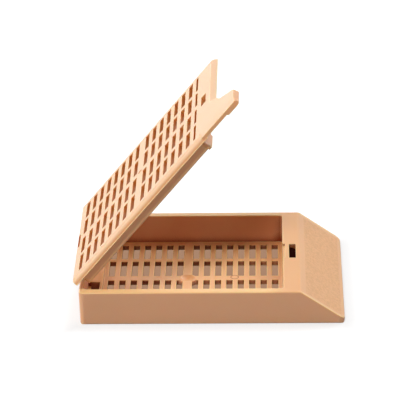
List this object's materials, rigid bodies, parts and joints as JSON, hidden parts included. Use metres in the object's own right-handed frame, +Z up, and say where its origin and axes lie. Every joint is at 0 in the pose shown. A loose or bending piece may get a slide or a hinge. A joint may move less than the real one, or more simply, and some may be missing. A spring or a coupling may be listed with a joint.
{
  "type": "tissue cassette",
  "caption": "Moulded tissue cassette: perforated tray with a sloped writing face and a perforated hinged snap lid standing half open.",
  "frame": {"origin": "middle of the tray's underside", "axes": "+X from the hinge end to the sloped writing face, +Y across the tray, +Z up out of the tray"},
  "size_m": [0.0415, 0.0284, 0.0369],
  "materials": {
    "acetal": "matt moulded acetal, peach-tan, slightly translucent at thin edges, finely grained on the writing face"
  },
  "bodies": {
    "base": {"base": "acetal"},
    "lid": {"lid": "acetal"}
  },
  "joints": [
    {"name": "lid_hinge", "type": "hinge", "parent": "base", "child": "lid", "pos_m": [-0.0214, 0, 0.0058], "axis": [0, -1, 0], "range_deg": [-50.3, 65]}
  ]
}
